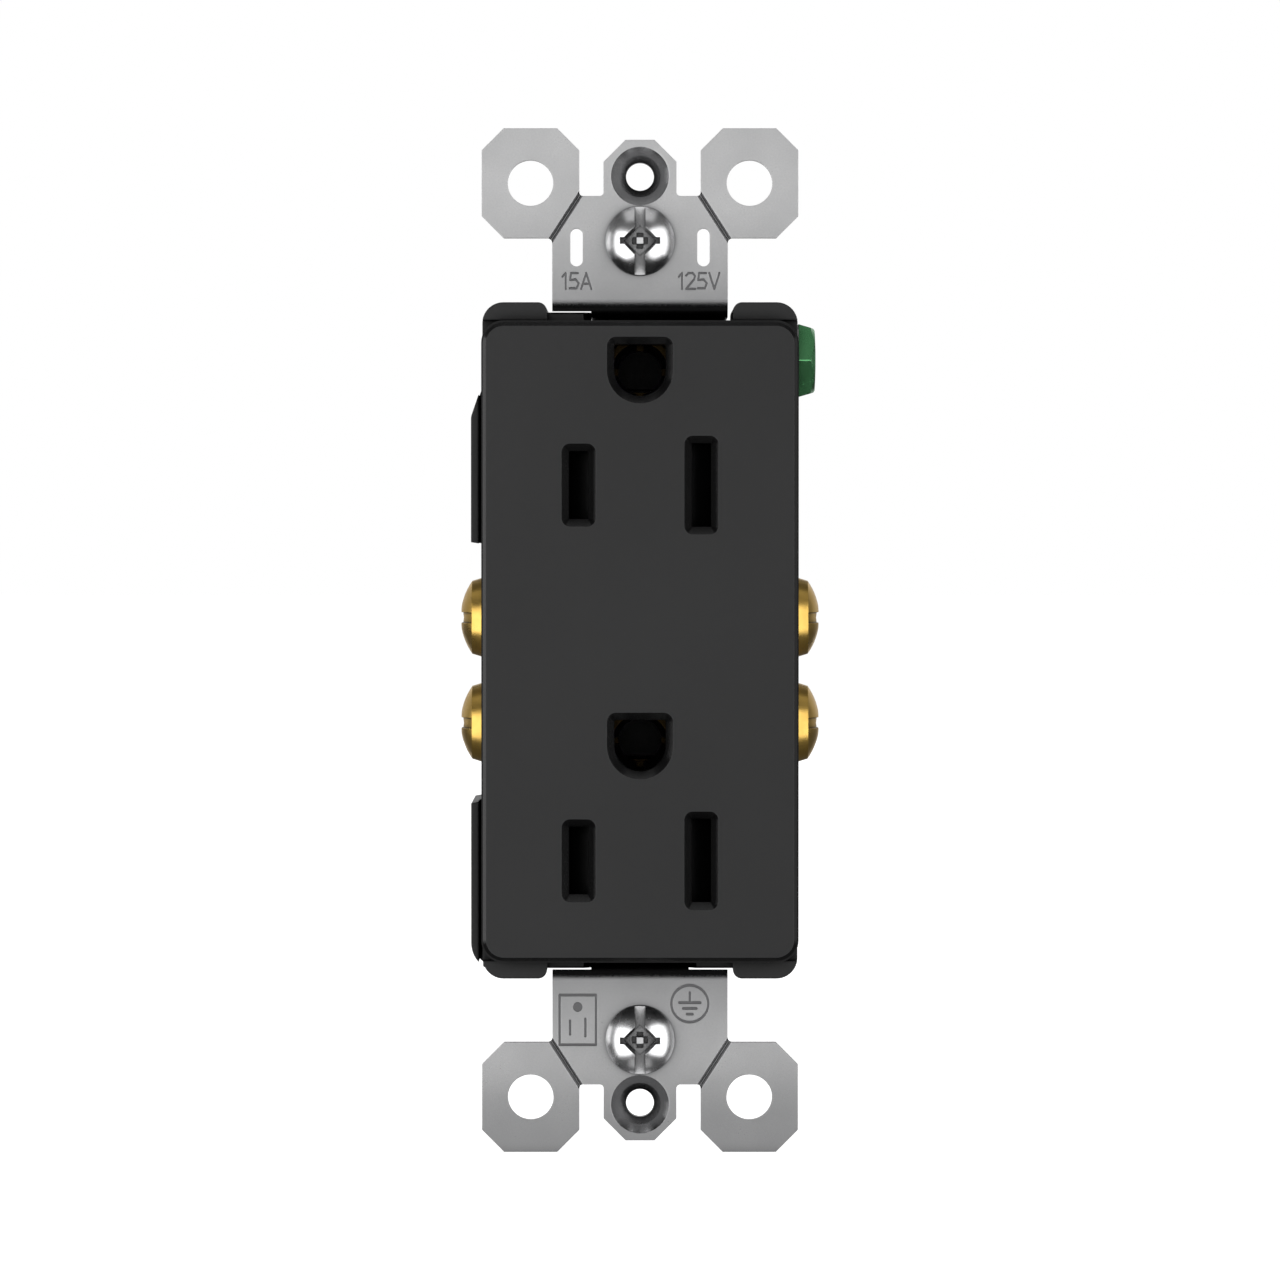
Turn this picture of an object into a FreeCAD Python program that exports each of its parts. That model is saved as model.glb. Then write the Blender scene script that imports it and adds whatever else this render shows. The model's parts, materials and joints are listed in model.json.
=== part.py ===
import FreeCAD, Part
import math
import os

# Duplex wall outlet, decorator style, with a steel strap that wraps behind the body.
# Millimetres. +X is to the right, +Y goes back into the wall box, +Z is up.
# The origin is the centre of the strap's front face, between the four ear holes.

# ---- moulded case, overall ---------------------------------------------------------
COVER_W = 32.9           # skirt of the cover
COVER_H = 66.6
COVER_R = 2.3
BODY_HALF_X = COVER_W / 2
BODY_REAR = 25.4         # rear of the body and of the strap

# ---- strap -----------------------------------------------------------------------
STRAP_T = 1.4            # sheet thickness
NECK_HALF = 9.15         # half width of the neck between the corner posts
EAR_X_IN = 6.33          # plaster ear, inner edge
EAR_X_OUT = BODY_HALF_X + 0.05
EAR_Z_LOW = 41.96        # plaster ear, edge nearest the body
EAR_Z_TOP = 53.4         # plaster ear, far edge
EAR_CHAMFER = 2.3
EAR_HOLE_R = 2.38
EAR_HOLE_X = EAR_X_OUT - 5.08
EAR_HOLE_Z = 47.7
TAB_HALF = 3.81          # tab that carries the plate-screw hole
TAB_Z_TOP = 52.2
NOTCH_Z = 46.36          # floor of the notch between ear and tab
PLATE_HOLE_Z = 48.42     # 96.84 mm apart, the standard plate spacing
PLATE_HOLE_R = 1.46
PLATE_SINK_R = 3.05      # mouth of the drawn countersink
PLATE_THROAT_R = 2.16
PLATE_BORE_Y = STRAP_T + 0.35     # where the countersink ends and the tapped bore begins
PLATE_BOSS_DEPTH = PLATE_BORE_Y + 1.4
SCORE_WIDTH = 0.62       # groove along which an ear snaps off
SCORE_DEPTH = 0.42
VENT_X = 6.62            # narrow upright slots in the upper neck
VENT_Z = 41.0
VENT_W = 1.3
VENT_H = 3.95
BEND_R = 1.85            # outer radius of each bend
LEG_Z_OUT = COVER_H / 2 + 1.85   # outer face of the leg that runs back beside the body
LEG_CUT_X = 5.1          # the leg is narrowed to this beside a latch
LEG_CUT_Y0 = 0.486

# ---- stamped marks -----------------------------------------------------------------
STAMP_DEPTH = 0.12
STAMP_W = 0.22
STAMP_H = 1.65
STAMP_Z = 37.5
SYMBOL_W = 0.26
RING_X = 5.2             # ring round an earth symbol, lower neck
RING_Z = -37.9
RING_R = 1.8
OUTLET_MARK_X = -6.5     # outlet pictogram, lower neck
OUTLET_MARK_Z = -39.6
OUTLET_MARK_HALF_X = 1.9
OUTLET_MARK_HALF_Z = 2.6

# ---- moulded case, details ---------------------------------------------------------
FACE_FRONT = -6.4        # front plane of the face
FACE_W = COVER_W - 1.0   # flat front plane
FACE_H = COVER_H - 1.2
FACE_BEVEL = 0.34
FACE_LEDGE_Y = 1.35      # the ledge stands this far behind the front plane
FACE_T = 2.2             # thickness of the front wall
COVER_WALL = 1.7
PART_LINE = 0.9          # cover and back body meet here
POST_X_IN = NECK_HALF + 0.55     # corner posts of the back body
POST_Z = COVER_H / 2 + 2.0
POST_FRONT = 0.25
END_GAP = 0.15           # between the cover's end and the posts' step
CHANNEL_CLEAR = 0.10     # between the strap and the body
RECESS_TOP = 10.1        # side recesses that hold the terminal screws
RECESS_BOTTOM = -16.9
RECESS_X = BODY_HALF_X - 2.75
WING_X = BODY_HALF_X + 1.25      # outer face of the left side wings
WING_Y0 = 3.2
WING_RIM = 0.78          # width of a wing's front strip, outside the groove
WING_GROOVE_REAR = 9.2
WING_LOW_Z = -COVER_H / 2 - 1.45
WING_LOW_R = 3.0
LATCHES = ((-1, 1), (-1, -1), (1, -1))   # side (-1 left), end (1 top)
LATCH_REAR = 9.4         # how far back a cover latch reaches
LATCH_Z = LEG_Z_OUT - 0.9
LATCH_WALL_Z = COVER_H / 2 - 1.2         # inner face of a latch

# ---- outlets ---------------------------------------------------------------------
OUTLET_STEP = 38.89      # upper outlet to lower outlet
OUTLET_SHIFTS = (0.0, -OUTLET_STEP)
BLADE_Z = 16.24          # upper outlet, centre of the blade slots
PIN_Z = 28.13            # upper outlet, centre of the ground pin
MIDDLE_Z = BLADE_Z - OUTLET_STEP / 2 + 0.8
BLADE_X = 6.35
SLOT_W = 2.0
SLOT_HOT_H = 7.02
SLOT_NEUTRAL_H = 8.63
SLOT_BEVEL = 0.78
PIN_HOLE_R = 2.67
PIN_BEVEL = 0.77

# ---- tamper shutters -------------------------------------------------------------
SHUTTER_TRAVEL = 2.6
SHUTTER_HALF_Z = 5.0
SHUTTER_GAP = 0.12       # sliding clearance
RAMP_OUT = 7.7           # outer edge of the ramp, from the middle
RAMP_IN = 4.5
RAMP_DEPTH = 2.6
RAMP_WALL = 0.9
BLADE_PLATE_T = 0.9
SHUTTER_Y0 = FACE_FRONT + FACE_T + SHUTTER_GAP
PLATE_Y = SHUTTER_Y0 + RAMP_DEPTH        # front of the blade stops
SPRING_R = 1.0           # mean radius of the shutter spring
SPRING_WIRE_R = 0.16
SPRING_END_GAP = 0.03
SPRING_Y = SHUTTER_Y0 + RAMP_DEPTH / 2 - 0.1
GUIDE_T = 0.8
GUIDE_Y0 = PLATE_Y + BLADE_PLATE_T + SHUTTER_GAP
GUIDE_POST_X = BODY_HALF_X - 3.85
GUIDE_POST_Z = 4.1
RAIL_T = 0.7
RAIL_HALF_X = RAMP_OUT + SHUTTER_TRAVEL + 0.3

# ---- current-carrying metal ------------------------------------------------------
BRASS_T = 0.8
LEAF_GAP = 1.2           # between the two leaves of a blade contact, at the pinch
LEAF_OPEN = 2.0          # between them at the base
LEAF_HALF_Z = 2.9
LEAF_TIP = 1.6           # how far behind the strap plane the leaves' mouths are
BUS_Y = 14.5             # front face of the bus backbone
BUS_CLEAR = 0.25
BACKBONE_X0 = BLADE_X + LEAF_OPEN / 2 + BRASS_T + 0.75
BACKBONE_X1 = BACKBONE_X0 + 2.0
SCREW_Z = (2.24, -8.88)  # terminal screws, upper and lower
SCREW_Y = 12.0
PLATE_X = BODY_HALF_X - 1.15     # outer face of the terminal plates
PLATE_HALF_Z = 4.3
PLATE_Y0 = 6.9
PLATE_Y1 = 20.2
TERMINAL_BARREL = 1.3
TERMINAL_R = 2.05        # 8-32 thread, major radius
TERMINAL_HEAD_R = 4.4    # at the underside
TERMINAL_RIM_R = 3.87    # where the dome begins
TERMINAL_HEAD_X = PLATE_X + 0.6          # underside of the head
TERMINAL_RIM_X = TERMINAL_HEAD_X + 1.85
TERMINAL_APEX_X = TERMINAL_RIM_X + 1.25
TERMINAL_GROOVE = 0.2    # depth of the full-width groove below the dome
TERMINAL_TIP_X = PLATE_X - 6.4
THREAD_PITCH = 0.794
THREAD_DEPTH = 0.42
PEG_HALF = 0.34          # peg in the middle of a driver recess
GROOVE_HALF = 0.56       # half width of a driver groove
RUN = 0.06               # radial running clearance of a screw in its hole
GROUND_Z = 29.4
GROUND_Y = 12.6
GROUND_HEAD_R = 4.43     # to the corners of the hex, at the underside
GROUND_DRAFT = 0.62      # how much nearer the corners are at the top
GROUND_TAB_X = BODY_HALF_X       # outer face of the strap's ground tab
GROUND_TAB_HALF = 3.4
GROUND_HEAD_X = GROUND_TAB_X + 0.3
GROUND_APEX_X = GROUND_HEAD_X + 1.85

# ---- ground contacts -------------------------------------------------------------
GRIP_R = 2.3
GRIP_WALL = 0.6
GRIP_FLARE = 0.65        # how much wider the sleeve is at its mouth
GRIP_MOUTH = 3.8         # how far back the mouth is
GRIP_NECK = 10.0         # where the sleeve has narrowed to GRIP_R
GRIP_REAR = 14.5
GRIP_BASE_Y = BODY_REAR - STRAP_T - BRASS_T
FOOT_HALF_X = 2.2
FOOT_EDGE = 2.2          # from the rivet's centre to the end of the foot
RIVET_R = 1.2
RIVET_OFFSET = 6.0       # below the pin's centre
RIVET_Z = tuple(PIN_Z + shift - RIVET_OFFSET for shift in OUTLET_SHIFTS)

# ---- mounting screws -------------------------------------------------------------
MOUNT_R = 1.75           # 6-32 thread, major radius
MOUNT_SCREW_Z = 41.67    # 83.34 mm apart, the standard box spacing
MOUNT_SLOT_R = MOUNT_R + 0.2
MOUNT_SLOT_HALF = 1.5    # half the distance between the slot's end centres
MOUNT_HEAD_R = 3.65
MOUNT_RIM_H = 0.35
MOUNT_DOME_H = 1.7
MOUNT_TIP = 22.0
HEAD_LIFT = 0.05         # head underside to strap
WASHER_T = 1.1
WASHER_HALF_X = 3.6
WASHER_HALF_Z = 3.4

# ---- push-in terminals -----------------------------------------------------------
PUSH_X = PLATE_X - 2.55
PUSH_R = 1.15
PUSH_OFFSET = 3.1        # wire entry above the upper screw, below the lower one
SPRING_T = 0.35


def vec(x, y, z):
    return FreeCAD.Vector(x, y, z)


def box(x0, x1, y0, y1, z0, z1):
    return Part.makeBox(x1 - x0, y1 - y0, z1 - z0, vec(x0, y0, z0))


def cyl_x(r, x0, x1, y, z):
    return Part.makeCylinder(r, x1 - x0, vec(x0, y, z), vec(1, 0, 0))


def cyl_y(r, y0, y1, x, z):
    return Part.makeCylinder(r, y1 - y0, vec(x, y0, z), vec(0, 1, 0))


def cone_y(r0, r1, y0, y1, x, z):
    return Part.makeCone(r0, r1, y1 - y0, vec(x, y0, z), vec(0, 1, 0))


def fuse(shapes):
    solid = shapes[0].fuse(shapes[1:]) if len(shapes) > 1 else shapes[0]
    return solid.removeSplitter()


def mirror_x(shape):
    return shape.mirror(vec(0, 0, 0), vec(1, 0, 0))


def mirror_z(shape):
    return shape.mirror(vec(0, 0, 0), vec(0, 0, 1))


def moved(shape, x=0.0, y=0.0, z=0.0):
    copy = shape.copy()
    copy.translate(vec(x, y, z))
    return copy


def outline(corners, place):
    """Closed wire through corners (u, v, fillet radius), set in space by place(u, v)."""
    count = len(corners)
    cuts = []
    for i, (u, v, r) in enumerate(corners):
        here = FreeCAD.Vector(u, v, 0)
        back = FreeCAD.Vector(corners[i - 1][0], corners[i - 1][1], 0) - here
        ahead = FreeCAD.Vector(corners[(i + 1) % count][0], corners[(i + 1) % count][1], 0) - here
        back.normalize()
        ahead.normalize()
        if r == 0:
            cuts.append((here, None, here))
            continue
        half = back.getAngle(ahead) / 2
        reach = r / math.tan(half)
        middle = back + ahead
        middle.normalize()
        apex = here + middle * (r / math.sin(half) - r)
        cuts.append((here + back * reach, apex, here + ahead * reach))
    edges = []
    for i, (start, apex, end) in enumerate(cuts):
        if apex is not None:
            points = [place(p.x, p.y) for p in (start, apex, end)]
            edges.append(Part.Arc(*points).toShape())
        after = cuts[(i + 1) % count][0]
        if (after - end).Length > 1e-6:
            edges.append(Part.makeLine(place(end.x, end.y), place(after.x, after.y)))
    return Part.Wire(edges)


def slab_y(corners, y0, y1):
    """Outline in X and Z, extruded along Y."""
    wire = outline(corners, lambda u, v: vec(u, y0, v))
    return Part.Face(wire).extrude(vec(0, y1 - y0, 0))


def slab_x(corners, x0, x1):
    """Outline in Y and Z, extruded along X."""
    wire = outline(corners, lambda u, v: vec(x0, u, v))
    return Part.Face(wire).extrude(vec(x1 - x0, 0, 0))


def slab_z(corners, z0, z1):
    """Outline in X and Y, extruded along Z."""
    wire = outline(corners, lambda u, v: vec(u, v, z0))
    return Part.Face(wire).extrude(vec(0, 0, z1 - z0))


def rounded(half_x, half_z, r, x=0.0, z=0.0):
    """Corners of a rounded rectangle in X and Z."""
    signs = ((-1, -1), (1, -1), (1, 1), (-1, 1))
    return [(x + a * half_x, z + b * half_z, r) for a, b in signs]


def tapered(corners_a, y_a, corners_b, y_b):
    """Ruled solid between two outlines with the same number of edges."""
    wire_a = outline(corners_a, lambda u, v: vec(u, y_a, v))
    wire_b = outline(corners_b, lambda u, v: vec(u, y_b, v))
    return Part.makeLoft([wire_a, wire_b], True, True)


def profile(entries, place):
    """Closed wire through (u, v) points; an entry (mid u, mid v, u, v) is an arc."""
    edges = []
    here = entries[0]
    for entry in entries[1:] + entries[:1]:
        end = entry[-2:]
        if len(entry) == 4:
            edges.append(Part.Arc(place(*here), place(*entry[:2]), place(*end)).toShape())
        else:
            edges.append(Part.makeLine(place(*here), place(*end)))
        here = end
    return Part.Wire(edges)


def turned_x(entries, y, z):
    """Revolve (x, r) entries about an axis along X."""
    wire = profile(entries, lambda u, v: vec(u, y, z + v))
    return Part.Face(wire).revolve(vec(0, y, z), vec(1, 0, 0), 360)


def turned_y(entries, x, z):
    """Revolve (y, r) entries about an axis along Y."""
    wire = profile(entries, lambda u, v: vec(x + v, u, z))
    return Part.Face(wire).revolve(vec(x, 0, z), vec(0, 1, 0), 360)


def cap_arc(rim, apex, r):
    """Arc entry of a spherical cap, from its rim to its apex on the axis."""
    height = abs(apex - rim)
    sphere = (height * height + r * r) / (2 * height)
    half = math.asin(r / sphere) / 2
    side = 1 if apex > rim else -1
    return (apex - side * sphere * (1 - math.cos(half)), sphere * math.sin(half), apex, 0.0)


def thread_points(start, end, r):
    """Points of a threaded shank from start to end, crests at r."""
    step = THREAD_PITCH if end > start else -THREAD_PITCH
    turns = int(abs(end - start) / THREAD_PITCH)
    points = []
    for i in range(turns):
        base = start + i * step
        points.append((base + 0.12 * step, r - THREAD_DEPTH))
        points.append((base + 0.50 * step, r))
        points.append((base + 0.62 * step, r))
        points.append((base + step, r - THREAD_DEPTH))
    return points


# ---- strap -----------------------------------------------------------------------

def stroke(points, width, y0, y1):
    """Bars of one width along a run of (x, z) points, with round joints."""
    bars = []
    for (xa, za), (xb, zb) in zip(points, points[1:]):
        length = math.hypot(xb - xa, zb - za)
        nx = -(zb - za) / length * width / 2
        nz = (xb - xa) / length * width / 2
        long_side = [(xa + nx, za + nz, 0), (xb + nx, zb + nz, 0)]
        other_side = [(xb - nx, zb - nz, 0), (xa - nx, za - nz, 0)]
        bars.append(slab_y(long_side + other_side, y0, y1))
    bars += [cyl_y(width / 2, y0, y1, x, z) for x, z in points]
    return bars


# Strokes of the generic rating marks, on a cell one unit high.
GLYPHS = {
    "1": [[(0.05, 0.78), (0.25, 1.0), (0.25, 0.0)]],
    "2": [[(0.0, 0.85), (0.14, 1.0), (0.42, 1.0), (0.56, 0.82), (0.5, 0.6), (0.0, 0.0), (0.58, 0.0)]],
    "5": [[(0.52, 1.0), (0.08, 1.0), (0.02, 0.56), (0.38, 0.6), (0.56, 0.36), (0.44, 0.04), (0.0, 0.04)]],
    "A": [[(0.0, 0.0), (0.32, 1.0), (0.64, 0.0)], [(0.12, 0.33), (0.52, 0.33)]],
    "V": [[(0.0, 1.0), (0.32, 0.0), (0.64, 1.0)]],
}
GLYPH_WIDTH = {"1": 0.35, "2": 0.58, "5": 0.56, "A": 0.64, "V": 0.64}


def stamped(text, x_centre, z_centre):
    """Cutting tools for one stamped rating, sunk into the strap's front face."""
    gap = 0.16
    total = sum(GLYPH_WIDTH[c] for c in text) + gap * (len(text) - 1)
    x = x_centre - total * STAMP_H / 2
    tools = []
    for letter in text:
        for line in GLYPHS[letter]:
            points = [(x + u * STAMP_H, z_centre + (v - 0.5) * STAMP_H) for u, v in line]
            tools += stroke(points, STAMP_W, -1.0, STAMP_DEPTH)
        x += (GLYPH_WIDTH[letter] + gap) * STAMP_H
    return tools


def symbol(lines):
    """Cutting tools for a stamped symbol made of strokes."""
    tools = []
    for line in lines:
        tools += stroke(line, SYMBOL_W, -1.0, STAMP_DEPTH)
    return tools


def earth_mark():
    """Generic earth symbol in a ring."""
    ring = cyl_y(RING_R + SYMBOL_W, -1.0, STAMP_DEPTH, RING_X, RING_Z)
    ring = ring.cut(cyl_y(RING_R, -2.0, STAMP_DEPTH + 1, RING_X, RING_Z))
    lines = [[(RING_X, RING_Z + 1.15), (RING_X, RING_Z + 0.1)]]
    for i, half in enumerate((1.1, 0.7, 0.3)):
        z = RING_Z + 0.1 - i * 0.6
        lines.append([(RING_X - half, z), (RING_X + half, z)])
    return [ring] + symbol(lines)


def outlet_mark():
    """Generic pictogram of an outlet: a frame, two blades and a ground pin."""
    x = OUTLET_MARK_X
    z = OUTLET_MARK_Z
    half_x = OUTLET_MARK_HALF_X
    half_z = OUTLET_MARK_HALF_Z
    signs = ((-1, -1), (1, -1), (1, 1), (-1, 1), (-1, -1))
    frame = [(x + a * half_x, z + b * half_z) for a, b in signs]
    left_blade = [(x - 0.8, z - 1.5), (x - 0.8, z - 0.1)]
    right_blade = [(x + 0.8, z - 1.7), (x + 0.8, z + 0.1)]
    tools = symbol([frame, left_blade, right_blade])
    return tools + [cyl_y(0.5, -1.0, STAMP_DEPTH, x, z + 1.35)]


def strap_end():
    """Upper front plate of the strap, flat, from the bend to the ears."""
    bend_z = LEG_Z_OUT - STRAP_T + BEND_R
    right = [
        (NECK_HALF, bend_z, 0),
        (NECK_HALF, EAR_Z_LOW, 0.5),
        (EAR_X_OUT - EAR_CHAMFER, EAR_Z_LOW, 0),
        (EAR_X_OUT, EAR_Z_LOW + EAR_CHAMFER, 0),
        (EAR_X_OUT, EAR_Z_TOP - EAR_CHAMFER, 0),
        (EAR_X_OUT - EAR_CHAMFER, EAR_Z_TOP, 0),
        (EAR_X_IN + EAR_CHAMFER, EAR_Z_TOP, 0),
        (EAR_X_IN, EAR_Z_TOP - EAR_CHAMFER, 0),
        (EAR_X_IN, NOTCH_Z, 0.4),
        (TAB_HALF, NOTCH_Z, 0.4),
        (TAB_HALF, TAB_Z_TOP - EAR_CHAMFER, 0),
        (TAB_HALF - EAR_CHAMFER, TAB_Z_TOP, 0),
    ]
    left = [(-x, z, r) for x, z, r in reversed(right)]
    plate = slab_y(right + left, 0, STRAP_T)
    boss_r = PLATE_HOLE_R + 0.95
    slot_half = MOUNT_SLOT_HALF + MOUNT_SLOT_R
    screw_slot = rounded(slot_half, MOUNT_SLOT_R, MOUNT_SLOT_R - 0.001, 0, MOUNT_SCREW_Z)
    plate = fuse([plate, cyl_y(boss_r, STRAP_T / 2, PLATE_BOSS_DEPTH, 0, PLATE_HOLE_Z)])
    tools = [
        cone_y(PLATE_SINK_R, PLATE_THROAT_R, -0.001, 0.9, 0, PLATE_HOLE_Z),
        cone_y(PLATE_THROAT_R, PLATE_HOLE_R, 0.9, PLATE_BORE_Y, 0, PLATE_HOLE_Z),
        cyl_y(PLATE_HOLE_R, PLATE_BORE_Y, PLATE_BOSS_DEPTH + 1, 0, PLATE_HOLE_Z),
        slab_y(screw_slot, -1, STRAP_T + 1),
    ]
    for side in (-1, 1):
        tools.append(cyl_y(EAR_HOLE_R, -1, 3, side * EAR_HOLE_X, EAR_HOLE_Z))
        tools.append(score_tool(side))
    return plate.cut(tools)


def score_tool(side):
    """V-shaped cutter along the line where a plaster ear snaps off."""
    start = vec(side * (EAR_X_IN - 0.5), 0, NOTCH_Z + 0.75)
    end = vec(side * (NECK_HALF + 0.5), 0, EAR_Z_LOW - 0.75)
    along = end - start
    along.normalize()
    across = along.cross(vec(0, 1, 0)) * (SCORE_WIDTH / 2)
    floor = across * 0.1
    sunk = vec(0, SCORE_DEPTH, 0)
    lift = vec(0, -0.001, 0)
    corners = [start + across + lift, start + floor + sunk, start - floor + sunk, start - across + lift]
    return Part.Face(Part.makePolygon(corners + corners[:1])).extrude(end - start)


def strap_leg():
    """Upper bend and the leg that runs back, drawn in Y and Z."""
    inner = BEND_R - STRAP_T
    z_in = LEG_Z_OUT - STRAP_T
    z_bend = z_in + BEND_R
    corners = [
        (0.0, z_bend + 0.2, 0),
        (0.0, z_in, BEND_R),
        (BODY_REAR - STRAP_T, z_in, inner),
        (BODY_REAR - STRAP_T, 0.0, 0),
        (BODY_REAR, 0.0, 0),
        (BODY_REAR, LEG_Z_OUT, BEND_R),
        (STRAP_T, LEG_Z_OUT, inner),
        (STRAP_T, z_bend + 0.2, 0),
    ]
    return slab_x(corners, -NECK_HALF, NECK_HALF)


def ground_tab():
    """Tab bent from the strap's rear span along the right side, tapped for the ground screw."""
    x_out = GROUND_TAB_X
    corners = [
        (NECK_HALF - 0.5, BODY_REAR - STRAP_T, 0),
        (x_out - STRAP_T, BODY_REAR - STRAP_T, BEND_R - STRAP_T),
        (x_out - STRAP_T, GROUND_Y - GROUND_TAB_HALF - 1.0, 0),
        (x_out, GROUND_Y - GROUND_TAB_HALF - 1.0, 0),
        (x_out, BODY_REAR, BEND_R),
        (NECK_HALF - 0.5, BODY_REAR, 0),
    ]
    return slab_z(corners, GROUND_Z - GROUND_TAB_HALF, GROUND_Z + GROUND_TAB_HALF)


def mounting_strap():
    upper = strap_end()
    lower = mirror_z(strap_end()).cut(earth_mark() + outlet_mark())
    vents = [
        slab_y(rounded(VENT_W / 2, VENT_H / 2, VENT_W / 2 - 0.001, side * VENT_X, VENT_Z), -1, 3)
        for side in (-1, 1)
    ]
    ratings = stamped("15A", -VENT_X, STAMP_Z) + stamped("125V", VENT_X - 0.5, STAMP_Z)
    upper = upper.cut(vents + ratings)
    leg = strap_leg()
    strap = fuse([upper, lower, leg, mirror_z(leg), ground_tab()])
    cuts = [latch_window(side, up) for side, up in LATCHES]
    cuts.append(cyl_x(TERMINAL_R + RUN, GROUND_TAB_X - 3, GROUND_TAB_X + 1, GROUND_Y, GROUND_Z))
    for z in RIVET_Z:
        cuts.append(cyl_y(RIVET_R, BODY_REAR - 3, BODY_REAR + 1, 0, z))
    return strap.cut(cuts)


def at_corner(shape, side, up):
    """Carry a shape drawn for the top right to another corner."""
    shape = shape if side > 0 else mirror_x(shape)
    return shape if up > 0 else mirror_z(shape)


def latch_window(side, up):
    """Strip taken off the leg's edge so that a cover latch can pass."""
    z_in = LEG_Z_OUT - STRAP_T
    tool = box(LEG_CUT_X, NECK_HALF + 1, LEG_CUT_Y0, BODY_REAR + 1, z_in - 0.6, LEG_Z_OUT + 0.5)
    return at_corner(tool, side, up)


# ---- face cover ------------------------------------------------------------------

def pin_outline(grow, shift):
    """D-shaped ground opening: flat on top, round towards the blades."""
    r = PIN_HOLE_R + grow
    z = PIN_Z + shift
    corner = 0.25 + grow * 0.95
    return [(-r, z - r, r - 0.001), (r, z - r, r - 0.001), (r, z + r, corner), (-r, z + r, corner)]


def slot_outline(side, grow, shift):
    height = SLOT_HOT_H if side < 0 else SLOT_NEUTRAL_H
    r = 0.12 + grow
    return rounded(SLOT_W / 2 + grow, height / 2 + grow, r, side * BLADE_X, BLADE_Z + shift)


def opening_tools(shift):
    """Blade slots and ground opening of one outlet, with their bevelled mouths."""
    y0 = FACE_FRONT
    y1 = FACE_FRONT + FACE_T + 0.5
    tools = []
    for side in (-1, 1):
        mouth = slot_outline(side, SLOT_BEVEL, shift)
        throat = slot_outline(side, 0, shift)
        tools.append(tapered(mouth, y0, throat, y0 + SLOT_BEVEL))
        tools.append(slab_y(throat, y0 + SLOT_BEVEL, y1))
    tools.append(tapered(pin_outline(PIN_BEVEL, shift), y0, pin_outline(0, shift), y0 + PIN_BEVEL))
    tools.append(slab_y(pin_outline(0, shift), y0 + PIN_BEVEL, y1))
    return tools


def cover_latch(side, up):
    """Snap latch beside the strap leg, with a window for the body's catch."""
    x0 = LEG_CUT_X
    x1 = POST_X_IN
    front = LEG_CUT_Y0 + 0.45
    corners = [
        (PART_LINE - 3.0, LATCH_WALL_Z, 0),
        (LATCH_REAR, LATCH_WALL_Z, 0),
        (LATCH_REAR, LATCH_Z - 0.8, 0),
        (LATCH_REAR - 0.9, LATCH_Z, 0),
        (front, LATCH_Z, 0.2),
        (front, COVER_H / 2 - 0.2, 0),
        (PART_LINE - 3.0, COVER_H / 2 - 0.2, 0),
    ]
    latch = slab_x(corners, x0, x1)
    window = box(x0 + 1.1, x1 - 1.1, LATCH_REAR - 3.6, LATCH_REAR - 1.4, LATCH_WALL_Z - 1, LATCH_Z + 1)
    bevel = [(x0 - 0.1, front - 0.1, 0), (x0 + 0.9, front - 0.1, 0), (x0 - 0.1, front + 1.2, 0)]
    return at_corner(latch.cut([window, slab_z(bevel, COVER_H / 2 + 0.01, LATCH_Z + 1)]), side, up)


def face_cover():
    half_x = COVER_W / 2
    half_z = COVER_H / 2
    ledge = FACE_FRONT + FACE_LEDGE_Y
    body = slab_y(rounded(half_x, half_z, COVER_R), ledge, PART_LINE)
    step_x = FACE_W / 2 + FACE_BEVEL
    step_z = FACE_H / 2 + FACE_BEVEL
    raised = slab_y(rounded(step_x, step_z, COVER_R - 0.15), FACE_FRONT + 0.42, ledge)
    bevel = tapered(
        rounded(FACE_W / 2, FACE_H / 2, COVER_R - 0.45),
        FACE_FRONT,
        rounded(step_x, step_z, COVER_R - 0.15),
        FACE_FRONT + 0.42,
    )
    body = fuse([body, raised, bevel])
    inside = slab_y(
        rounded(half_x - COVER_WALL, half_z - COVER_WALL, 0.8),
        FACE_FRONT + FACE_T,
        PART_LINE + 1,
    )
    body = body.cut([inside])
    ribs = []
    for shift in OUTLET_SHIFTS:
        ribs.append(pin_wall(shift))
        ribs += guide_posts(shift)
    rib_x = half_x - 0.5
    ribs.append(box(-rib_x, rib_x, FACE_FRONT + 1, PART_LINE - 1.5, MIDDLE_Z - 0.6, MIDDLE_Z + 0.6))
    latches = [cover_latch(side, up) for side, up in LATCHES]
    body = fuse([body] + ribs + latches)
    tools = []
    for shift in OUTLET_SHIFTS:
        tools += opening_tools(shift)
        tools.append(slab_y(pin_outline(0, shift), FACE_FRONT + FACE_T, PART_LINE + 1))
    return body.cut(tools)


def pin_wall(shift):
    """Tube behind the ground opening that leads the pin to its contact."""
    return slab_y(pin_outline(1.0, shift), FACE_FRONT + 1, PART_LINE - 0.6)


def guide_posts(shift):
    """Four posts inside the face that carry a shutter guide."""
    posts = []
    z = BLADE_Z + shift
    for side in (-1, 1):
        for up in (-1, 1):
            at_x = side * GUIDE_POST_X
            at_z = z + up * GUIDE_POST_Z
            posts.append(cyl_y(1.1, FACE_FRONT + 1, GUIDE_Y0, at_x, at_z))
            posts.append(cyl_y(0.6, FACE_FRONT + 1, GUIDE_Y0 + GUIDE_T, at_x, at_z))
    return posts


# ---- tamper shutters -------------------------------------------------------------

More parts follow.
